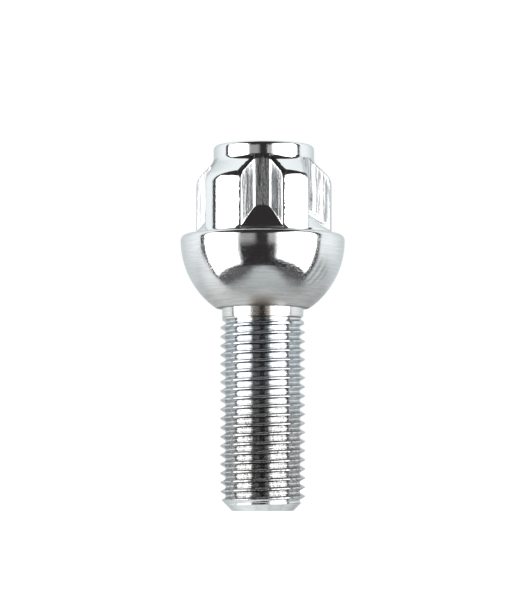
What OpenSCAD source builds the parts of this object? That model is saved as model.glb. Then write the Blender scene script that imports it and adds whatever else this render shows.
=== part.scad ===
// Keyed wheel bolt: one steel forging with a fluted locking head, a ball seat and a rolled thread.
// Z points up along the bolt, from the end face of the threaded tip to the top of the head.
// The flute that faces the viewer is on the -Y side.

/* [Shank] */
// Height of the flat underside of the ball seat above the tip
shank_length = 33.4; // [28:0.5:45]
// Diameter of the plain neck just under the seat
neck_d = 13.5; // [13.1:0.1:13.8]
// Diameter of the neck just above the thread
neck_low_d = 13.35; // [12.9:0.05:13.6]
// Length of the plain neck
neck_length = 1.7; // [1:0.1:6]
// Width of the flat ring under the ball, around the neck
seat_flat = 0.95; // [0.4:0.05:2]

/* [Thread] */
// Outer diameter of the thread
thread_d = 14; // [13.8:0.05:14.2]
// Distance from one thread crest to the next
thread_pitch = 1.5; // [1.25:0.25:1.5]
// Flank angle of the thread, crest to crest
thread_angle = 60; // [50:1:65]
// Diameter of the flat end face of the tip
tip_d = 10.3; // [8:0.1:11.5]
// Angle of the tip chamfer from the end face
tip_angle = 45; // [30:1:60]
// Height of a groove centre on the +X side, which sets where the thread starts
thread_start = 0.15; // [0:0.05:1.5]

/* [Ball seat] */
// Radius of the ball that centres the wheel
seat_r = 13.6; // [12.5:0.1:15]
// Radius of the rounded edge above the ball's widest circle
seat_edge_r = 0.9; // [0.4:0.1:1.5]

/* [Head] */
// Diameter over the lobes
head_d = 22.5; // [21:0.1:24]
// Sideways mismatch of the forged head to the machined seat
head_shift = 0.2; // [0:0.02:0.4]
// Diameter of the round boss on top
boss_d = 16.7; // [14:0.1:17]
// Height of the boss above the foot of its side
boss_height = 2.7; // [2:0.1:5]
// Height of the lobes from the seat collar to where their side would meet the shoulder cone
lobe_height = 9.2; // [8:0.05:12]
// Angle of the shoulder cone from the horizontal
shoulder_angle = 45; // [35:1:50]
// Rounding where the lobe turns into the shoulder
shoulder_r = 2.5; // [1:0.1:3]
// Hollow rounding where the shoulder meets the boss
boss_fillet_r = 1.5; // [0.6:0.1:2]
// Rounding of the boss's top edge
boss_edge_r = 0.6; // [0.3:0.1:1.5]

/* [Key flutes] */
// Number of flutes
flute_count = 5; // [3:1:5]
// Angle between the two flutes that stand closest, which makes the key fit one way only
close_angle = 60; // [54:1:72]
// Turn of the front flute from the -Y side, positive towards +X
front_angle = -1.8; // [-10:0.1:10]
// Step from the boss's side out to the flute floor
flute_floor_step = 0.18; // [0.1:0.02:1]
// Width of the flat part of the flute floor
flute_floor_w = 1.9; // [1:0.1:2.5]
// Hollow rounding between the floor and a side wall
flute_fillet_r = 0.9; // [0.4:0.1:1.2]
// Angle of a side wall from the floor
flute_wall_angle = 47; // [40:1:60]
// Rounding of the edge between a side wall and the lobe
flute_mouth_r = 0.45; // [0.2:0.05:0.8]
// Height above the seat collar at which the flute runs out of the lobe
flute_foot = 0.5; // [0.3:0.1:2]
// Angle of the cone-shaped run-out ramp from the bolt's axis
ramp_angle = 38; // [30:1:50]

/* [Fineness] */
// Flat steps to one turn of the thread
thread_steps = 32; // [16:4:40]
// Flat steps in each rounded corner
corner_steps = 6; // [3:1:10]

/* [Hidden] */
$fn = 96;

// Heights along the bolt
seat_height = sqrt(pow(seat_r, 2) - pow(neck_d / 2 + seat_flat, 2));
seat_z = shank_length + seat_height;
collar_top = seat_z + seat_edge_r;
corner_z = collar_top + lobe_height;
boss_foot_z = corner_z + (head_d - boss_d) / 2 * tan(shoulder_angle);
total_length = boss_foot_z + boss_height;

// Thread form: crests an eighth of a pitch wide, roots a quarter, as on a standard metric bolt
crest_fade = thread_pitch;
thread_top = shank_length - neck_length - crest_fade;
root_half = thread_pitch / 8;
thread_depth = (thread_pitch * 7 / 16 - root_half) / tan(thread_angle / 2);
root_r = thread_d / 2 - thread_depth;
cut_margin = 0.1;
mouth_half = root_half + (thread_depth + cut_margin) * tan(thread_angle / 2);
tip_chamfer = (thread_d - tip_d) / 2 * tan(tip_angle);

// The groove starts below the tip and rises out of the steel before it reaches the seat
run_out_gap = 0.2;
groove_low = -mouth_half - 0.5;
groove_full = thread_top + crest_fade / 2;
groove_high = shank_length - mouth_half - run_out_gap;
groove_lift = thread_depth + 0.2;

// Head outline
head_r = head_d / 2;
boss_r = boss_d / 2;
flute_floor_r = boss_r + flute_floor_step;
flute_step = (360 - close_angle) / (flute_count - 1);
overlap = 0.02;

// Points of an arc about a centre, from one angle to another
function arc(c, r, a, b, steps) =
    [for (i = [0 : steps]) c + r * [cos(a + (b - a) * i / steps), sin(a + (b - a) * i / steps)]];

// How far the thread groove has risen out of the steel at a height
function lift(z) =
    z < groove_full ? 0 : groove_lift * pow((z - groove_full) / (groove_high - groove_full), 2);

// Four corners of the groove's section where its centre is at height z
function groove_ring(z) =
    let (a = 360 * (z - thread_start) / thread_pitch, rise = lift(z))
    [for (p = [[thread_d / 2 + cut_margin, -mouth_half], [root_r, -root_half],
               [root_r, root_half], [thread_d / 2 + cut_margin, mouth_half]])
        [(p[0] + rise) * cos(a), (p[0] + rise) * sin(a), z + p[1]]];

// The helical groove, as rings of four corners joined by triangles
module thread_groove() {
    rings = ceil((groove_high - groove_low) / thread_pitch * thread_steps);
    points = [for (i = [0 : rings])
        each groove_ring(groove_low + (groove_high - groove_low) * i / rings)];
    sides = [for (i = [0 : rings - 1], k = [0 : 3])
        let (a = 4 * i + k, b = 4 * i + (k + 1) % 4)
        each [[a, a + 4, b], [b, a + 4, b + 4]]];
    last = 4 * rings;
    ends = [[0, 1, 2], [0, 2, 3], [last, last + 2, last + 1], [last, last + 3, last + 2]];
    polyhedron(points = points, faces = concat(sides, ends));
}

// Shank, neck and collar as one turned outline, with the ball as a true arc
module shank_and_seat() {
    rotate_extrude() {
        polygon([
            [0, 0],
            [tip_d / 2, 0],
            [thread_d / 2, tip_chamfer],
            [thread_d / 2, thread_top],
            [neck_low_d / 2, thread_top + crest_fade],
            [neck_d / 2, shank_length],
            [neck_d / 2, seat_z],
            [0, seat_z],
        ]);
        intersection() {
            translate([0, seat_z]) circle(r = seat_r);
            translate([0, shank_length]) square([seat_r + 1, seat_height]);
        }
        translate([0, seat_z]) square([seat_r - seat_edge_r, seat_edge_r]);
        intersection() {
            translate([seat_r - seat_edge_r, seat_z]) circle(r = seat_edge_r);
            translate([seat_r - seat_edge_r, seat_z]) square(seat_edge_r + 1);
        }
    }
}

// Lobes, shoulder cone and boss before the flutes are cut
module head_blank() {
    lobe_turn = 90 - shoulder_angle;
    shoulder_back = shoulder_r * tan(lobe_turn / 2);
    fillet_back = boss_fillet_r * tan(lobe_turn / 2);
    rotate_extrude()
        polygon(concat(
            [[0, seat_z], [head_r, seat_z]],
            arc([head_r - shoulder_r, corner_z - shoulder_back], shoulder_r, 0, lobe_turn, corner_steps),
            arc([boss_r + boss_fillet_r, boss_foot_z + fillet_back], boss_fillet_r,
                180 + lobe_turn, 180, corner_steps),
            arc([boss_r - boss_edge_r, total_length - boss_edge_r], boss_edge_r, 0, 90, corner_steps),
            [[0, total_length]]));
}

// One side of the flute's section, from the floor out past the lobe; x is across and y outwards
function flute_side() =
    let (w = flute_wall_angle,
         along = [cos(w), sin(w)],
         into = [sin(w), -cos(w)],
         fillet_c = [flute_floor_w / 2, flute_floor_r + flute_fillet_r],
         wall_foot = fillet_c + flute_fillet_r * into,
         q = wall_foot + flute_mouth_r * into,
         reach = head_r - flute_mouth_r + overlap,
         s = -(q * along) + sqrt(pow(q * along, 2) - q * q + pow(reach, 2)),
         mouth_c = q + s * along,
         out = atan2(mouth_c[1], mouth_c[0]),
         end = mouth_c + flute_mouth_r * [cos(out), sin(out)])
    concat(
        arc(fillet_c, flute_fillet_r, -90, w - 90, corner_steps),
        arc(mouth_c, flute_mouth_r, w + 90, out, corner_steps),
        [end + 2 * [sin(out), -cos(out)] + [0, 2]]);

// Mirror image of a row of points, in reverse order
function mirrored(points) = [for (i = [len(points) - 1 : -1 : 0]) [-points[i][0], points[i][1]]];

// Cutter for one flute: its section drawn upwards, ended below by the ramp, a cone about the head's axis
module flute_cutter() {
    side = flute_side();
    foot_z = collar_top + flute_foot;
    far = head_r + 0.1;
    near = flute_floor_r - 1;
    top = total_length + 1;
    ramp = [near, foot_z + (head_r - near) / tan(ramp_angle)];
    lip = [far, foot_z + (head_r - far) / tan(ramp_angle)];
    intersection() {
        translate([0, 0, seat_z]) linear_extrude(top - seat_z) polygon(concat(side, mirrored(side)));
        rotate_extrude()
            polygon([ramp, lip, [far + 4, lip[1]], [far + 4, top + 1], [near, top + 1]]);
    }
}

// The fluted head, set off the shank's axis by the forging mismatch
module keyed_head() {
    translate([head_shift, 0, 0])
        difference() {
            head_blank();
            for (i = [0 : flute_count - 1])
                rotate([0, 0, 180 + front_angle + (i == 0 ? 0 : close_angle + flute_step * (i - 1))])
                    flute_cutter();
        }
}

// The whole bolt: one piece of plated steel
module wheel_bolt() {
    color("silver")
        union() {
            difference() {
                shank_and_seat();
                thread_groove();
            }
            keyed_head();
        }
}

wheel_bolt();
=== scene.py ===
"""Keyed wheel bolt on its tip: plated forged steel, a turned ball seat and a rolled thread."""
import math
from types import SimpleNamespace

import bmesh
import bpy
import numpy as np
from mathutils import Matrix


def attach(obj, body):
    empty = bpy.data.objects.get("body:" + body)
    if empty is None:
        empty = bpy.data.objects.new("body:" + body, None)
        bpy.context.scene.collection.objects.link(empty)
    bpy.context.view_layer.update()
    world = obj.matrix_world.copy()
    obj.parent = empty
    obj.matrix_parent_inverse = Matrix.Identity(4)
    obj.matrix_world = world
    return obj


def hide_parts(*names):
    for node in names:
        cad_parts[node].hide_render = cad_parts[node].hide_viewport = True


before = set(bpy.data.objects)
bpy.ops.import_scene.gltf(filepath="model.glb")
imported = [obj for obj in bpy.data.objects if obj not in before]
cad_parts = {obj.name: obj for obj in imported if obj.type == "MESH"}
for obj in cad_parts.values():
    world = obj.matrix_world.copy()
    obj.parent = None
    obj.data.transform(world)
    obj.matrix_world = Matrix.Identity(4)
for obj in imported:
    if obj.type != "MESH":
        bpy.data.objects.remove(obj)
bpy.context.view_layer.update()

# Sizes in millimetres and angles, the same values as in the part's source
SHANK_LENGTH = 33.4
NECK_D = 13.5
NECK_LOW_D = 13.35
NECK_LENGTH = 1.7
SEAT_FLAT = 0.95
THREAD_D = 14.0
PITCH = 1.5
THREAD_ANGLE = math.radians(60)
TIP_D = 10.3
THREAD_START = 0.15
SEAT_R = 13.6
SEAT_EDGE_R = 0.9
HEAD_R = 11.25
HEAD_SHIFT = 0.2
BOSS_R = 8.35
BOSS_HEIGHT = 2.7
LOBE_HEIGHT = 9.2
SHOULDER_R = 2.5
BOSS_FILLET_R = 1.5
BOSS_EDGE_R = 0.6
CLOSE_ANGLE = 60
FLUTE_COUNT = 5
FRONT_ANGLE = -1.8
FLOOR_R = 8.53
FLOOR_W = 1.9
FLUTE_FILLET_R = 0.9
WALL = math.radians(47)
FLUTE_FOOT = 0.5
RAMP = math.radians(38)

# Roundings of the skin, where the source is sharp or has another radius
CREST_ROUND = 0.05
ROOT_ROUND = 0.28
MOUTH_R = 0.36
RAMP_FILLET_R = 0.12
COLLAR_FILLET_R = 0.35

# Run-out of the thread: its end below the seat, and how far its groove has risen by then
RUN_OUT = 0.9145
GROOVE_LIFT = 1.012

# Heights, radii and angles worked out from them
NECK_FOOT = SHANK_LENGTH - NECK_LENGTH
SEAT_Z = SHANK_LENGTH + math.sqrt(SEAT_R ** 2 - (NECK_D / 2 + SEAT_FLAT) ** 2)
COLLAR_TOP = SEAT_Z + SEAT_EDGE_R
CORNER_Z = COLLAR_TOP + LOBE_HEIGHT
BOSS_FOOT_Z = CORNER_Z + HEAD_R - BOSS_R
TOP_Z = BOSS_FOOT_Z + BOSS_HEIGHT
FOOT_Z = COLLAR_TOP + FLUTE_FOOT
THREAD_TOP = NECK_FOOT - PITCH
ROOT_R = THREAD_D / 2 - PITCH * (7 / 16 - 1 / 8) / math.tan(THREAD_ANGLE / 2)
GROOVE_FULL = THREAD_TOP + PITCH / 2
GROOVE_HIGH = SHANK_LENGTH - RUN_OUT
FLUTE_STEP = (360 - CLOSE_ANGLE) / (FLUTE_COUNT - 1)
WALL_FOOT = FLOOR_W / 2 + FLUTE_FILLET_R * math.tan(WALL / 2)
WALL_GAP = FLOOR_R * math.cos(WALL) - WALL_FOOT * math.sin(WALL)

# Fineness of the thread: steps to a turn, and rows beside a groove's centre as parts of the pitch
THREAD_STEPS = 80
THREAD_ROWS = (0.04, 0.08, 0.12, 0.16, 0.2, 0.29, 0.37, 0.405, 0.43, 0.46)
SKIN_LOW = -1.9
SKIN_HIGH = 34.6

# Turned blank that trims the thread: its radius, the top of its tip cone, its top and its sides
BLANK_R = TIP_D / 2 + 3.4
BLANK_CONE_TOP = 3.45
BLANK_TOP = 34.2
BLANK_SIDES = 192

# Fineness of the head: columns in degrees from a flute and rows by height, as start, end and step
HEAD_COLUMNS = ((0, 6.3, 1.2), (6.4, 12, 0.7), (12.1, 16, 0.8), (16.1, 21.4, 0.5))
LOBE_COLUMN = 1.6
HEAD_ROWS = ((45.87, 46.3, 0.09), (46.32, 49.0, 0.16), (49.0, 50.0, 0.12),
             (50.1, 52.5, 0.5), (52.6, 57.0, 0.12), (57.0, 58.6, 0.1))
BOSS_ROWS = (58.9, 59.2)
SHARP_ANGLE = math.radians(33)

# Search for the head's radius: a start inside every flute, one outside the head, and halvings
SEARCH_LOW = 7.0
SEARCH_HIGH = HEAD_R + 1.5
HALVINGS = 24

# Radii of the plain rings on the three flat faces of the head
FLAT_RING_R = 5.0
LEDGE_RING_R = 12.1
TOP_RING_R = 4.0

# A millimetre in metres, and the small step that slopes are taken over
MM = 0.001
NUDGE = 1e-4

# Camera: focal length in millimetres, place in metres and upward tilt in degrees
LENS = 152.68
CAMERA_PLACE = (-0.00003, -0.42, 0.00597)
CAMERA_TILT = 3.922

# Softboxes in degrees: azimuths of the two ends with their fades, then upper and lower edge
LEFT_BOX = ((-29, -89.5, -13, -2), ((-60, 34), (-35, 22)), ((-91, -38.5), (-40, -34.5)))
RIGHT_BOX = ((13.5, 82, 15, 2), ((25, 24), (56, 43)), ((23, -28.7), (93, -38.8)))
BOX_SOFT = 1.5
BOX_FADE = 1.5

# Azimuths and elevations over which the studio changes, in degrees, from none to full
LEFT_STRIP = (-6, -15)
RIGHT_STRIP = (6, 8.5)
STRIP_FOOT = (-13, -2)
STRIP_TOP = (13, 11)
HORIZON = (-1, -24)
FRONT_FOOT = (-41, -38)

# Grey arcs: first and last azimuth or elevation with the softness of their edges
ARC_AZIMUTHS = (88.0, 124.0, 3.0)
ARC_ELEVATIONS = (-58.0, -18.0, 5.0)

# Colours of the studio
WHITE = (1, 1, 1, 1)
FLOOR_COLOUR = (0.8, 0.8, 0.8, 1)
FLOOR_GLOW = 0.6
FRONT_DARK = (0.038, 0.034, 0.036, 1)
FRONT_STRIP = (1, 1, 0.98, 1)
BACKDROP_SIDE = (1.22, 1.26, 1.27, 1)
BACKDROP_MIDDLE = (0.9, 0.94, 0.95, 1)
BOX_LIGHT = (3.6, 3.6, 3.6, 1)
ARC_GREY = (0.3, 0.32, 0.32, 1)
TABLE_DARK = (0.15, 0.145, 0.15, 1)
TABLE_TONGUE = (0.63, 0.66, 0.66, 1)
TABLE_LEFT = (1.08, 1.1, 1.1, 1)
TABLE_LEFT_FAR = (0.82, 0.84, 0.84, 1)
TABLE_RIGHT = (0.86, 0.88, 0.88, 1)
TABLE_RIGHT_FAR = (0.66, 0.68, 0.68, 1)
TABLE_DIM = (0.42, 0.44, 0.44, 1)
TABLE_UNDER = (0.98, 1.0, 1.0, 1)

# Colours of the plating and of its marks, zone by zone
PLATED = (0.71, 0.725, 0.73, 1)
PLATED_MARK = (0.64, 0.655, 0.66, 1)
LOW_BALL = (0.57, 0.57, 0.56, 1)
LOW_BALL_MARK = (0.47, 0.465, 0.455, 1)
NECK = (0.62, 0.615, 0.6, 1)
NECK_RING = (0.3, 0.26, 0.22, 1)
# Painted reflection: a brown patch in front, standing in for something brown reflected there
PAINTED_BROWN_REFLECTION = (0.36, 0.31, 0.27, 1)
THREAD = (0.63, 0.65, 0.665, 1)
THREAD_PATCH = (0.49, 0.51, 0.525, 1)
WARM_THREAD = (0.66, 0.64, 0.615, 1)
WARM_THREAD_PATCH = (0.52, 0.495, 0.47, 1)
THREAD_SPECK = (0.16, 0.135, 0.13, 1)
# Painted shade in the crease where the ball's flat underside meets the neck
PAINTED_SEAT_SHADE = (0.12, 0.11, 0.1, 1)
FACED = (0.4, 0.405, 0.41, 1)
FACED_MARK = (0.3, 0.305, 0.31, 1)
FLUTE_STREAK = (0.1, 0.105, 0.11, 1)
# Painted shade along the flutes' edges
PAINTED_EDGE_SHADE = (0.05, 0.045, 0.045, 1)
GLANCING = (0.8, 0.82, 0.83, 1)

# Heights on the bolt over which its looks change, in millimetres, from none to full
TIP_END = (1.6, 2.0)
SPECKED = (21.0, 12.0)
WARMED = (25.0, 13.0)
# Where the painted brown reflection fades out, at its top and its foot
BROWN_REFLECTION_TOP = (35.6, 34.2)
BROWN_REFLECTION_FOOT = (30.0, 31.5)
BALL_LOW = (38.2, 34.4)
ON_CONE = (53.8, 55.3)
STREAKS_END = (58.1, 57.7)
# Heights of the painted shade along the flutes' edges and along the front flute's foot
EDGE_SHADE_END = (58.3, 57.6)
FOOT_LINE = (COLLAR_TOP + 0.72, COLLAR_TOP + 0.55)
COLLAR_EDGE = (COLLAR_TOP + 1.0, COLLAR_TOP + 0.2)

# Degrees from the front flute over which the flutes' looks change, from none to full
# The first two set the painted shade along the front flute's foot and the flutes' edges
FOOT_LINE_END = (20.0, 17.0)
FRONT_EDGE_SHADE = (26.0, 22.0)
SIDE_STREAKS = (30.0, 45.0)


def add_camera():
    """Camera 420 mm in front of the bolt, as high as its lowest turns and tilted up to frame it."""
    data = bpy.data.cameras.new("camera")
    data.lens = LENS
    data.sensor_width = 36
    data.clip_start = 0.01
    data.clip_end = 20
    camera = bpy.data.objects.new("camera", data)
    bpy.context.scene.collection.objects.link(camera)
    camera.location = CAMERA_PLACE
    camera.rotation_euler = (math.radians(90 + CAMERA_TILT), 0, 0)
    bpy.context.scene.camera = camera


class Nodes:
    """Short calls that add shader nodes to one tree and link them."""

    def __init__(self, owner):
        owner.use_nodes = True
        self.tree = owner.node_tree
        self.tree.nodes.clear()

    def fill(self, node, pairs):
        """Links or sets a node's inputs, from pairs of an input and a socket or constant."""
        for key, value in pairs:
            if isinstance(value, bpy.types.NodeSocket):
                self.tree.links.new(value, node.inputs[key])
            elif value is not None:
                node.inputs[key].default_value = value

    def add(self, kind, inputs=(), out=0, **settings):
        """One output of a new node, or the node itself where it has none."""
        node = self.tree.nodes.new(kind)
        for name, value in settings.items():
            setattr(node, name, value)
        self.fill(node, inputs.items() if isinstance(inputs, dict) else enumerate(inputs))
        return node.outputs[out] if len(node.outputs) else node

    def math(self, operation, a, b=None, c=None):
        """One step of arithmetic."""
        return self.add("ShaderNodeMath", (a, b, c), operation=operation)

    def product(self, first, *others):
        """All the values multiplied."""
        for other in others:
            first = self.math("MULTIPLY", first, other)
        return first

    def scaled(self, value, factor, extra):
        """The value times a factor, plus something extra."""
        return self.math("MULTIPLY_ADD", value, factor, extra)

    def less(self, a, b):
        """The difference a - b."""
        return self.math("SUBTRACT", a, b)

    def bearing(self, x, y):
        """Angle about the upright axis in radians, 0 at the front and positive to the right."""
        return self.math("ARCTAN2", x, self.product(y, -1.0))

    def radius(self, x, y):
        """Distance from the upright axis."""
        return self.math("SQRT", self.scaled(x, x, self.product(y, y)))

    def vector(self, *parts):
        """A vector from up to three parts, the rest 0."""
        return self.add("ShaderNodeCombineXYZ", parts)

    def parts(self, vector):
        """The three parts of a vector."""
        split = self.add("ShaderNodeSeparateXYZ", (vector,))
        return [split.node.outputs[i] for i in range(3)]

    def step(self, value, start, end):
        """0 before start, 1 beyond end, smooth between."""
        inputs = {"Value": value, "From Min": start, "From Max": end}
        return self.add("ShaderNodeMapRange", inputs, interpolation_type="SMOOTHSTEP")

    def line(self, value, start, end):
        """Straight-line change between two (value, result) pairs, level beyond them."""
        inputs = {"Value": value, "From Min": start[0], "From Max": end[0],
                  "To Min": start[1], "To Max": end[1]}
        return self.add("ShaderNodeMapRange", inputs)

    def band(self, value, low, high, soft):
        """1 between low and high, with soft edges."""
        rise = self.step(value, low - soft, low + soft)
        return self.less(rise, self.step(value, high - soft, high + soft))

    def mix(self, factor, a, b):
        """Colour a where factor is 0 and colour b where it is 1."""
        node = self.tree.nodes.new("ShaderNodeMix")
        node.data_type = "RGBA"
        self.fill(node, ((0, factor), (6, a), (7, b)))
        return node.outputs[2]

    def noise(self, vector, scale, detail, rough):
        """Uneven values about 0.5."""
        inputs = {"Vector": vector, "Scale": scale, "Detail": detail, "Roughness": rough}
        return self.add("ShaderNodeTexNoise", inputs)


def softbox(n, az, el, ends, top, bottom):
    """1 inside a softbox, fading towards its ends and cut by its upper and lower edge."""
    near, far, near_fade, far_fade = ends
    fade = n.math("POWER", n.step(az, near, near + near_fade), BOX_FADE)
    across = n.product(fade, n.step(az, far, far - far_fade))
    below_top = n.step(n.less(n.line(az, *top), el), -BOX_SOFT, BOX_SOFT)
    above_bottom = n.step(n.less(el, n.line(az, *bottom)), -BOX_SOFT, BOX_SOFT)
    return n.product(below_top, above_bottom, across)


def table_front(n, u, v, uneven):
    """The table in front: dark corners, a light tongue between them, and dark far out."""
    half_width = n.scaled(v, 0.42, 0.72)
    outside = n.less(n.math("ABSOLUTE", n.less(u, 0.06)), half_width)
    in_tongue = n.step(n.math("ADD", outside, uneven), 0.22, -0.22)
    colour = n.mix(in_tongue, TABLE_DARK, TABLE_TONGUE)
    return n.mix(n.step(v, -1.05, -1.3), colour, FRONT_DARK)


def table_behind(n, u, v):
    """The table behind: pale, brighter on the left, with a dim patch on the right."""
    far = n.step(v, 0.4, 1.6)
    left = n.mix(far, TABLE_LEFT, TABLE_LEFT_FAR)
    right = n.mix(far, TABLE_RIGHT, TABLE_RIGHT_FAR)
    dim = n.product(n.band(u, 0.6, 1.1, 0.15), n.step(v, 0.3, 0.1))
    right = n.mix(dim, right, TABLE_DIM)
    return n.mix(n.step(u, -0.15, 0.2), left, right)


def table_colour(n, x, y, z):
    """What a reflection shows below the horizon, as on a table one unit under the bolt."""
    depth = n.math("MAXIMUM", n.product(z, -1.0), 0.02)
    u = n.math("DIVIDE", x, depth)
    v = n.math("DIVIDE", y, depth)
    place = n.vector(u, v)
    uneven = n.scaled(n.noise(place, 2.2, 3.0, 0.6), 0.5, -0.25)
    slanted = n.scaled(n.math("MINIMUM", u, 0.0), 0.07, v)
    is_behind = n.step(n.scaled(uneven, 0.3, slanted), -0.05, 0.1)
    table = n.mix(is_behind, table_front(n, u, v, uneven), table_behind(n, u, v))
    distance = n.add("ShaderNodeVectorMath", (place,), out=1, operation="LENGTH")
    return n.mix(n.step(distance, 0.2, 0.12), table, TABLE_UNDER)


def front_colour(n, az, el, y):
    """Dark front with a soft grey strip on each side, level with the head."""
    left = n.product(n.step(az, *LEFT_STRIP), 0.42)
    right = n.product(n.step(az, *RIGHT_STRIP), 0.55)
    level = n.product(n.step(el, *STRIP_FOOT), n.step(el, *STRIP_TOP), n.step(y, 0.0, -0.2))
    strips = n.product(n.math("MAXIMUM", left, right), level)
    return n.mix(strips, FRONT_DARK, FRONT_STRIP)


def backdrop(n, x, y, z, front):
    """Pale backdrop round the dark front, brighter beside the bolt than straight behind it."""
    tilt = n.product(z, n.scaled(x, 0.2, 0.075))
    edge = n.less(n.scaled(x, 0.058, y), n.math("MAXIMUM", tilt, 0.0))
    edge = n.scaled(n.math("MINIMUM", x, 0.0), 0.045, edge)
    pale = n.mix(n.step(y, 0.25, 1.0), BACKDROP_SIDE, BACKDROP_MIDDLE)
    return n.mix(n.step(edge, -0.01, 0.05), front, pale)


def grey_arcs(n, az, el):
    """Where grey bars low on the right show as arcs in the ball."""
    wave = n.scaled(n.math("SINE", n.product(az, 0.52)), 0.5, 0.5)
    return n.product(n.band(az, *ARC_AZIMUTHS), n.band(el, *ARC_ELEVATIONS), wave, 0.8)


def add_world():
    """The studio by direction: dark front, softboxes, pale backdrop and a pale table behind."""
    world = bpy.data.worlds.new("studio")
    bpy.context.scene.world = world
    n = Nodes(world)
    x, y, z = n.parts(n.add("ShaderNodeTexCoord"))
    az = n.math("DEGREES", n.bearing(x, y))
    el = n.math("DEGREES", n.math("ARCSINE", z))
    front = front_colour(n, az, el, y)
    room = backdrop(n, x, y, z, front)
    room = n.mix(n.step(el, *HORIZON), room, table_colour(n, x, y, z))
    room = n.mix(grey_arcs(n, az, el), room, ARC_GREY)
    front_low = n.product(n.step(y, 0.0, -0.1), n.step(el, *FRONT_FOOT))
    room = n.mix(front_low, room, front)
    boxes = n.math("ADD", softbox(n, az, el, *LEFT_BOX), softbox(n, az, el, *RIGHT_BOX))
    colour = n.mix(boxes, room, BOX_LIGHT)

    # The camera sees plain white, and everything else sees the studio
    path = n.add("ShaderNodeLightPath")
    seen = n.add("ShaderNodeBackground", {"Color": WHITE, "Strength": 1.0})
    studio = n.add("ShaderNodeBackground", {"Color": colour, "Strength": 1.0})
    both = n.add("ShaderNodeMixShader", (path, studio, seen))
    n.add("ShaderNodeOutputWorld", (both,))


def add_floor():
    """Plain white floor for the bolt's shadow; reflections show the world's table instead."""
    mesh = bpy.data.meshes.new("floor")
    size = 3.0
    corners = [(-size, -size, 0), (size, -size, 0), (size, size, 0), (-size, size, 0)]
    mesh.from_pydata(corners, [], [(0, 1, 2, 3)])
    floor = bpy.data.objects.new("floor", mesh)
    bpy.context.scene.collection.objects.link(floor)
    floor.visible_glossy = False
    material = bpy.data.materials.new("floor")
    mesh.materials.append(material)
    n = Nodes(material)
    diffuse = n.add("ShaderNodeBsdfDiffuse", {"Color": FLOOR_COLOUR})
    glow = n.add("ShaderNodeEmission", {"Color": WHITE, "Strength": FLOOR_GLOW})
    lit = n.add("ShaderNodeAddShader", (diffuse, glow))
    path = n.add("ShaderNodeLightPath")
    both = n.add("ShaderNodeMixShader", (path, diffuse, lit))
    n.add("ShaderNodeOutputMaterial", (both,))


def new_object(name, points, faces):
    """A mesh object from points in millimetres."""
    mesh = bpy.data.meshes.new(name)
    mesh.from_pydata([tuple(p * MM) for p in np.asarray(points)], [], faces)
    mesh.update()
    made = bpy.data.objects.new(name, mesh)
    bpy.context.scene.collection.objects.link(made)
    return made


def combine(body, other, operation):
    """Joins or cuts body with another solid, which is then removed."""
    cut = body.modifiers.new("cut", "BOOLEAN")
    cut.operation = operation
    cut.object = other
    cut.solver = "MANIFOLD"
    graph = bpy.context.evaluated_depsgraph_get()
    mesh = bpy.data.meshes.new_from_object(body.evaluated_get(graph))
    body.modifiers.clear()
    body.data = mesh
    bpy.data.objects.remove(other)
    return body


def skin(name, rings, low, high):
    """A closed solid from rings of points, lowest first, with a middle point at each end."""
    sides = len(rings[0])
    points = np.vstack(rings + [[(0, 0, low), (0, 0, high)]])
    last = (len(rings) - 1) * sides
    around = [(i, (i + 1) % sides) for i in range(sides)]
    faces = [(k * sides + i, k * sides + j, (k + 1) * sides + j, (k + 1) * sides + i)
             for k in range(len(rings) - 1) for i, j in around]
    faces += [(len(points) - 2, j, i) for i, j in around]
    faces += [(len(points) - 1, last + i, last + j) for i, j in around]
    return new_object(name, points, faces)


def lathe(name, outline, sides):
    """A solid turned about the bolt's axis, from the outline's points (radius, height)."""
    turn = np.linspace(0, 2 * math.pi, sides, endpoint=False)
    rings = [np.stack([r * np.sin(turn), -r * np.cos(turn), np.full(sides, z)], axis=-1)
             for r, z in outline[1:-1]]
    return skin(name, rings, outline[0][1], outline[-1][1])


def soft_min(a, b, k):
    """The lower of two values, with the change from one to the other rounded over k."""
    return 0.5 * (a + b - np.sqrt((a - b) ** 2 + k * k))


def shank_radius(z, groove_z):
    """Radius of the threaded shank at height z, near the groove whose centre is at groove_z."""
    blank_z = (THREAD_TOP, THREAD_TOP + PITCH, SHANK_LENGTH)
    radius = np.interp(z, blank_z, (THREAD_D / 2, NECK_LOW_D / 2, NECK_D / 2))
    slope = 1 / math.tan(THREAD_ANGLE / 2)
    apex = ROOT_R - PITCH / 8 * slope
    for turn in (-1, 0, 1):
        centre = groove_z + turn * PITCH
        rise = np.clip((centre - GROOVE_FULL) / (GROOVE_HIGH - GROOVE_FULL), 0, 2) ** 2
        off = np.abs(z - centre)
        flank = apex + off * slope
        root = apex + 2 * ROOT_ROUND - np.sqrt(np.maximum(ROOT_ROUND ** 2 - off ** 2, 0))
        in_root = off < ROOT_ROUND * math.cos(THREAD_ANGLE / 2)
        groove = np.where(in_root, root, flank) + GROOVE_LIFT * rise
        radius = soft_min(radius, groove, CREST_ROUND)
    return radius


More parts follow.
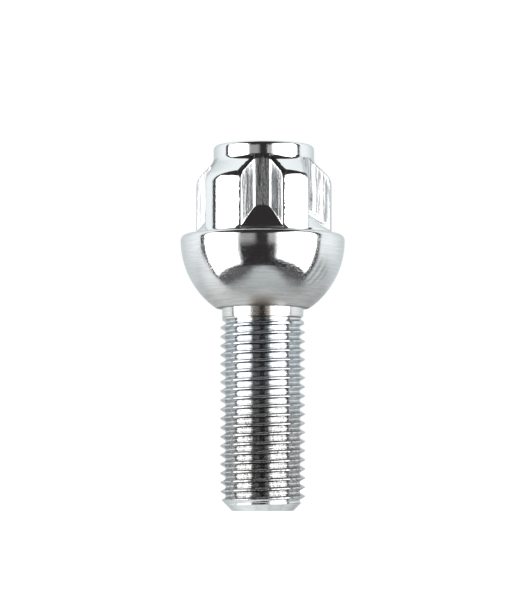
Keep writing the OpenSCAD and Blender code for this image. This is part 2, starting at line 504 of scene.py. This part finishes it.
def helical_skin():
    """Points and faces of a threaded rod that is longer than the shank at both ends."""
    half = PITCH * np.array(THREAD_ROWS)
    offsets = np.concatenate([[-PITCH / 2], -half[::-1], [0.0], half])
    rows = len(offsets)
    first = SKIN_LOW + PITCH / 2
    count = int((SKIN_HIGH - first) / PITCH * THREAD_STEPS)
    columns = np.arange(count + THREAD_STEPS + 1)
    centre = first + PITCH * columns / THREAD_STEPS
    angle = 2 * math.pi * (centre - THREAD_START) / PITCH
    z = centre[:, None] + offsets[None, :]
    r = shank_radius(z, centre[:, None])
    x = r * np.cos(angle)[:, None]
    y = r * np.sin(angle)[:, None]
    points = np.stack([x, y, z], axis=-1).reshape(-1, 3)

    # Each column runs up one pitch, to the first point of the column one turn on
    used = [list(range(c * rows, c * rows + rows)) + [(c + THREAD_STEPS) * rows]
            for c in range(count + 1)]
    faces = [(a[j], b[j], b[j + 1], a[j + 1])
             for a, b in zip(used, used[1:]) for j in range(rows)]

    # A fan of triangles closes each end
    low = [c * rows for c in range(THREAD_STEPS + 1)] + used[0][rows - 1:0:-1]
    high = [c * rows for c in range(count, count + THREAD_STEPS + 1)] + used[-1][rows - 1:0:-1]
    ends = [(0, 0, points[low[0]][2]), (0, 0, points[high[THREAD_STEPS]][2])]
    faces += [(len(points), low[i], low[i - 1]) for i in range(len(low))]
    faces += [(len(points) + 1, high[i - 1], high[i]) for i in range(len(high))]
    return np.vstack([points, ends]), faces


def make_shank():
    """Threaded shank, cut to length and chamfered at the tip."""
    shank = new_object("shank", *helical_skin())
    loose = bmesh.new()
    loose.from_mesh(shank.data)
    unused = [v for v in loose.verts if not v.link_faces]
    bmesh.ops.delete(loose, geom=unused, context="VERTS")
    loose.to_mesh(shank.data)
    loose.free()
    tip = TIP_D / 2
    rounded_tip = [(tip - 0.1, 0), (tip - 0.03, 0.02), (tip + 0.04, 0.09)]
    side = [(BLANK_R, BLANK_CONE_TOP), (BLANK_R, BLANK_TOP)]
    outline = [(0, 0), *rounded_tip, *side, (0, BLANK_TOP)]
    return combine(shank, lathe("blank", outline, BLANK_SIDES), "INTERSECT")


def round_max(a, b, r, c):
    """Outer of two surfaces whose normals meet with cosine c, their edge rounded with radius r."""
    c = np.clip(c, -0.98, 0.98)
    p, q = a + r, b + r
    arc = np.sqrt(np.maximum(p * p + q * q - 2 * p * q * c, 0) / (1 - c * c)) - r
    return np.where((p > q * c) & (q > p * c), arc, np.maximum(a, b))


def round_min(a, b, r, c):
    """Inner of two surfaces, their hollow corner filled with radius r."""
    return -round_max(-a, -b, r, c)


def head_outline(r, z):
    """Distance outside the turned outline of lobes, shoulder cone and boss."""
    lobe = r - HEAD_R
    cone = (r - HEAD_R + z - CORNER_Z) * math.sqrt(0.5)
    body = round_max(lobe, cone, SHOULDER_R, math.sqrt(0.5))
    return round_min(body, r - BOSS_R, BOSS_FILLET_R, math.sqrt(0.5))


def flute_sides(x, y):
    """Distance outside the steel beside and behind a flute; y points outwards through it."""
    floor = y - FLOOR_R
    wall = floor * math.cos(WALL) - (np.abs(x) - WALL_FOOT) * math.sin(WALL)
    return round_min(floor, wall, FLUTE_FILLET_R, math.cos(WALL))


def flute(r, turn, z):
    """Distance outside the steel round a flute, its cone-shaped run-out ramp included."""
    across, outwards = np.sin(turn), np.cos(turn)
    sides = flute_sides(r * across, r * outwards)
    further = flute_sides((r + NUDGE) * across, (r + NUDGE) * outwards)
    ramp = (r - HEAD_R) * math.cos(RAMP) + (z - FOOT_Z) * math.sin(RAMP)
    return round_min(sides, ramp, RAMP_FILLET_R, (further - sides) / NUDGE * math.cos(RAMP))


def head_distance(r, turn, z):
    """Distance outside the fluted head; turn is the angle from the nearest flute's middle."""
    a, b = head_outline(r, z), flute(r, turn, z)
    a_r = (head_outline(r + NUDGE, z) - a) / NUDGE
    a_z = (head_outline(r, z + NUDGE) - a) / NUDGE
    b_r = (flute(r + NUDGE, turn, z) - b) / NUDGE
    b_z = (flute(r, turn, z + NUDGE) - b) / NUDGE
    head = round_max(a, b, MOUTH_R, a_r * b_r + a_z * b_z)
    return round_min(head, z - COLLAR_TOP, COLLAR_FILLET_R, 0.0)


def solve_radius(turn, z):
    """Radius of the head's surface at each turn and height, by halving."""
    low = np.full((len(z), len(turn)), SEARCH_LOW)
    high = np.full((len(z), len(turn)), SEARCH_HIGH)
    turn, z = turn[None, :], z[:, None]
    for _ in range(HALVINGS):
        middle = (low + high) / 2
        outside = head_distance(middle, turn, z) > 0
        high = np.where(outside, middle, high)
        low = np.where(outside, low, middle)
    return (low + high) / 2


def stretches(rows):
    """Values that run through several stretches, each with its start, end and step."""
    return np.concatenate([np.arange(*row) for row in rows])


def head_turns():
    """Angles of the head's columns about its axis, and each one's angle from its nearest flute."""
    half = stretches(HEAD_COLUMNS)
    local = np.concatenate([-half[:0:-1], half])
    second = FRONT_ANGLE + CLOSE_ANGLE
    centres = [FRONT_ANGLE] + [second + FLUTE_STEP * i for i in range(FLUTE_COUNT - 1)]
    angles, offsets = [], []
    for centre, following in zip(centres, centres[1:] + [centres[0] + 360]):
        gap = following - centre
        room = gap - 2 * half[-1]
        between = half[-1] + np.linspace(0, room, round(room / LOBE_COLUMN) + 1)[1:-1]
        angles += [centre + local, centre + between]
        offsets += [local, np.where(between < gap / 2, between, between - gap)]
    return np.radians(np.concatenate(angles)), np.radians(np.concatenate(offsets))


def make_head():
    """Ball seat, collar, fluted head and boss as one skin."""
    angle, turn = head_turns()

    def ring(r, z, shift=0.0):
        r = np.broadcast_to(r, angle.shape)
        x, y = shift + r * np.sin(angle), -r * np.cos(angle)
        return np.stack([x, y, np.full(len(angle), z)], axis=-1)

    def arc(centre_r, centre_z, radius, angles, shift=0.0):
        return [ring(centre_r + radius * math.cos(t), centre_z + radius * math.sin(t), shift)
                for t in angles]

    # Flat ring under the ball, the ball and its rounded upper edge
    start = math.asin((SHANK_LENGTH - SEAT_Z) / SEAT_R)
    flat_edge = SEAT_R * math.cos(start)
    rings = [ring(FLAT_RING_R, SHANK_LENGTH), ring(flat_edge - 0.08, SHANK_LENGTH),
             ring(flat_edge - 0.02, SHANK_LENGTH + 0.015)]
    rings += arc(0, SEAT_Z, SEAT_R, np.linspace(start + 0.012, 0, 30))
    quarter = np.radians(np.linspace(0, 90, 9)[1:])
    rings += arc(SEAT_R - SEAT_EDGE_R, SEAT_Z, SEAT_EDGE_R, quarter)

    # Collar's upper face, which takes up the head's sideways mismatch, then the fluted head
    rings.append(ring(LEDGE_RING_R, COLLAR_TOP, 0.3 * HEAD_SHIFT))
    fillet = COLLAR_TOP + COLLAR_FILLET_R * (1 - np.cos(np.radians([12, 30, 50, 70])))
    heights = np.concatenate([fillet, stretches(HEAD_ROWS), BOSS_ROWS])
    radii = solve_radius(turn, heights)
    rings.append(ring(radii[0] + 0.07, COLLAR_TOP, HEAD_SHIFT))
    rings += [ring(r, z, HEAD_SHIFT) for r, z in zip(radii, heights)]

    # Rounded edge and flat top of the boss
    quarter = np.radians(np.linspace(0, 90, 8))
    rings += arc(BOSS_R - BOSS_EDGE_R, TOP_Z - BOSS_EDGE_R, BOSS_EDGE_R, quarter, HEAD_SHIFT)
    rings.append(ring(TOP_RING_R, TOP_Z, HEAD_SHIFT))
    return skin("head", rings, SHANK_LENGTH, TOP_Z)


def place_mm(n):
    """Place on the bolt in millimetres, as a vector and its three parts."""
    place = n.add("ShaderNodeTexCoord", out=3)
    mm = n.add("ShaderNodeVectorMath", {0: place, 3: 1 / MM}, operation="SCALE")
    return mm, *n.parts(mm)


def flute_place(n, x, y):
    """On the head: degrees from the front flute, degrees past the nearest wall, and radius."""
    across = n.less(x, HEAD_SHIFT)
    at = n.math("DEGREES", n.bearing(across, y))
    from_front = n.math("ABSOLUTE", n.less(at, FRONT_ANGLE))
    at = n.less(at, FRONT_ANGLE + CLOSE_ANGLE)
    at = n.math("WRAP", at, 360 - CLOSE_ANGLE / 2, -CLOSE_ANGLE / 2)
    turn = n.math("PINGPONG", at, FLUTE_STEP / 2)
    radius = n.radius(across, y)
    wall = n.math("DEGREES", n.math("ARCCOSINE", n.math("DIVIDE", WALL_GAP, radius)))
    past = n.less(n.math("ADD", turn, math.degrees(WALL)), wall)
    return from_front, past, radius


def painted_edge_shade(n, mm, z, from_front, past):
    """Ragged painted shade along the flutes' mouths, standing in for dark reflections on their
    rounded edges, wider on the shoulder cone and at the collar.
    """
    ragged = n.less(n.noise(mm, 2.6, 3.0, 0.7), 0.5)
    wide = n.scaled(n.step(z, *ON_CONE), 3.6, 1.7)
    wide = n.scaled(n.step(z, *COLLAR_EDGE), 3.5, wide)
    wide = n.scaled(ragged, 5.0, wide)
    edge = n.product(n.step(past, 0.3, 0.7), n.step(n.less(wide, past), -0.3, 0.3))

    # A painted shade line along the foot of the front flute
    foot = n.product(n.step(z, *FOOT_LINE), n.step(from_front, *FOOT_LINE_END), 0.9)
    edge = n.math("MAXIMUM", edge, foot)

    # On the lobes and shoulder alone, and faint beside the other flutes
    on_head = n.product(n.step(z, *EDGE_SHADE_END), n.step(z, COLLAR_TOP - 0.1, COLLAR_TOP))
    strength = n.scaled(n.step(from_front, *FRONT_EDGE_SHADE), 0.75, 0.25)
    return n.product(edge, on_head, strength)


def find_zones(n, mm, x, y, z):
    """Masks of the bolt's zones, with the angles and radii that its marks follow."""
    radius = n.radius(x, y)
    from_front, past, head_radius = flute_place(n, x, y)
    head = n.step(z, COLLAR_TOP - 0.02, COLLAR_TOP + 0.02)
    thread = n.product(n.step(z, NECK_FOOT + 0.1, NECK_FOOT - 0.5), n.step(z, *TIP_END))
    low = n.product(n.step(z, *BALL_LOW), n.step(z, SHANK_LENGTH, SHANK_LENGTH + 0.05))
    # Painted shade on the flat under the ball, beside the neck
    seat_shade = n.product(n.band(z, SHANK_LENGTH - 0.02, SHANK_LENGTH + 0.04, 0.02),
                          n.step(radius, NECK_D / 2 + 0.03, NECK_D / 2 + 0.1))
    ramp_slope = 1 / math.tan(RAMP)
    ramp_depth = n.scaled(head_radius, ramp_slope, -FOOT_Z - HEAD_R / math.tan(RAMP))
    above_ramp = n.step(n.math("ADD", z, ramp_depth), 0.05, 0.3)
    upper = n.product(n.step(z, *STREAKS_END), head)
    ledge = n.product(n.band(z, COLLAR_TOP - 0.03, COLLAR_TOP + 0.03, 0.015),
                      n.step(head_radius, 11.5, 11.7))
    return SimpleNamespace(
        bearing=n.bearing(x, y), radius=radius, head_radius=head_radius, from_front=from_front,
        head=head, turned=n.less(1.0, head), thread=thread, low=low, seat_shade=seat_shade,
        neck=n.band(z, NECK_FOOT, SHANK_LENGTH + 0.02, 0.02),
        flute=n.product(n.step(past, 0.5, 0.2), above_ramp, upper),
        # Painted shade along the flutes' edges
        edges=painted_edge_shade(n, mm, z, from_front, past),
        faced=n.math("MAXIMUM", n.step(z, TOP_Z - 0.04, TOP_Z - 0.01), ledge))


def make_marks(n, x, y, z, zones):
    """Noises drawn out the way the steel was turned or drawn."""
    turned_at = n.vector(n.product(zones.bearing, 0.8), zones.radius, z)
    drawn_at = n.vector(x, y, n.product(z, 0.05))
    return SimpleNamespace(
        turned=n.noise(turned_at, 3.4, 4.0, 0.6),
        rings=n.noise(n.vector(0.0, 0.0, z), 2.4, 2.0, 0.6),
        drawn=n.noise(drawn_at, 3.2, 4.0, 0.75),
        circles=n.noise(n.vector(zones.head_radius), 2.6, 4.0, 0.75))


def plating_height(n, mm, zones, marks):
    """Height of the fine unevenness under the plating, in millimetres."""
    height = n.product(n.noise(mm, 1.1, 2.0, 0.5), 0.005)
    fine = n.scaled(zones.head, 0.003, 0.0035)
    height = n.scaled(n.noise(mm, 2.4, 3.0, 0.65), fine, height)
    height = n.scaled(n.product(marks.turned, zones.turned), 0.003, height)
    height = n.scaled(n.product(marks.rings, zones.neck), 0.05, height)
    height = n.scaled(n.product(marks.drawn, zones.flute), 0.035, height)
    return n.scaled(n.product(marks.circles, zones.faced), 0.02, height)


def plating_roughness(n, mm, zones, marks):
    """Near-mirror plating, duller where it is drawn, low, ringed, speckled, edged or faced."""
    rough = n.scaled(n.noise(mm, 2.3, 3.0, 0.6), 0.08, 0.04)
    rough = n.scaled(zones.flute, n.scaled(marks.drawn, 0.34, -0.06), rough)
    rough = n.scaled(zones.low, 0.24, rough)
    rough = n.scaled(zones.neck, 0.07, rough)
    speckle = n.product(n.step(n.noise(mm, 4.5, 3.0, 0.7), 0.48, 0.66), zones.turned)
    rough = n.scaled(speckle, 0.16, rough)
    rough = n.scaled(n.math("ADD", zones.seat_shade, zones.edges), 0.4, rough)
    return n.scaled(zones.faced, 0.38, rough)


def seat_colour(n, z, zones, marks):
    """Faint rings on the ball, greyer low down, a ringed neck and a painted brown reflection in
    front.
    """
    streak = n.product(n.step(marks.turned, 0.35, 0.65), zones.turned)
    colour = n.mix(streak, PLATED, PLATED_MARK)
    low = n.mix(n.step(marks.turned, 0.4, 0.6), LOW_BALL, LOW_BALL_MARK)
    colour = n.mix(n.product(zones.low, 0.85), colour, low)
    colour = n.mix(n.product(zones.neck, 0.6), colour, NECK)
    # Painted reflection: a brown patch on the front of the neck and the ball's underside
    in_front = n.step(n.math("ABSOLUTE", zones.bearing), 0.36, 0.12)
    brown_reflection = n.product(in_front, n.step(z, *BROWN_REFLECTION_TOP), n.step(z, *BROWN_REFLECTION_FOOT), 0.75)
    colour = n.mix(brown_reflection, colour, PAINTED_BROWN_REFLECTION)
    return n.mix(n.product(n.step(marks.rings, 0.52, 0.62), zones.neck), colour, NECK_RING)


def thread_colour(n, colour, mm, z, zones):
    """Patchy plating on the thread, warmer and specked towards the tip."""
    patchy = n.step(n.noise(mm, 1.6, 3.0, 0.6), 0.35, 0.65)
    threads = n.mix(patchy, THREAD, THREAD_PATCH)
    warm = n.mix(patchy, WARM_THREAD, WARM_THREAD_PATCH)
    threads = n.mix(n.product(n.step(z, *WARMED), 0.4), threads, warm)
    colour = n.mix(zones.thread, colour, threads)
    specks = n.step(n.noise(mm, 3.6, 3.0, 0.7), 0.53, 0.6)
    return n.mix(n.product(specks, n.step(z, *SPECKED), zones.thread), colour, THREAD_SPECK)


def head_colour(n, colour, zones, marks):
    """Painted shade ring under the ball, faced top and ledge, the flutes' streaks, and painted
    shade along the flutes' edges.
    """
    # Painted shade in the ring under the ball
    colour = n.mix(n.product(zones.seat_shade, 0.6), colour, PAINTED_SEAT_SHADE)
    facing = n.mix(n.step(marks.circles, 0.4, 0.6), FACED, FACED_MARK)
    colour = n.mix(n.product(zones.faced, 0.9), colour, facing)
    marked = n.scaled(n.step(zones.from_front, *SIDE_STREAKS), 0.07, marks.drawn)
    streaks = n.product(n.step(marked, 0.48, 0.62), zones.flute, 0.8)
    colour = n.mix(streaks, colour, FLUTE_STREAK)
    # Painted shade along the flutes' edges
    return n.mix(zones.edges, colour, PAINTED_EDGE_SHADE)


def plating():
    """Bright plating over turned, rolled and forged steel."""
    material = bpy.data.materials.new("plating")
    n = Nodes(material)
    mm, x, y, z = place_mm(n)
    zones = find_zones(n, mm, x, y, z)
    marks = make_marks(n, x, y, z, zones)
    colour = seat_colour(n, z, zones, marks)
    colour = thread_colour(n, colour, mm, z, zones)
    colour = head_colour(n, colour, zones, marks)
    rough = plating_roughness(n, mm, zones, marks)
    height = plating_height(n, mm, zones, marks)
    bump = n.add("ShaderNodeBump", {"Strength": 1.0, "Distance": MM, "Height": height})
    steel = n.add("ShaderNodeBsdfPrincipled",
                  {"Base Color": colour, "Metallic": 1.0, "Roughness": rough, "Normal": bump,
                   "Specular Tint": GLANCING})
    n.add("ShaderNodeOutputMaterial", (steel,))
    return material


def make_bolt():
    """The whole bolt as one piece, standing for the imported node."""
    bolt = combine(make_shank(), make_head(), "UNION")
    bolt.name = "bolt"
    bolt.data.name = "bolt"
    bolt.data.materials.clear()
    bolt.data.materials.append(plating())
    bolt.data.shade_smooth()
    bolt.data.set_sharp_from_angle(angle=SHARP_ANGLE)
    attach(bolt, "root")
    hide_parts("wheel_bolt")
    print("bolt triangles", sum(len(p.vertices) - 2 for p in bolt.data.polygons))


bpy.context.scene.view_settings.view_transform = "Standard"
add_camera()
add_world()
add_floor()
make_bolt()
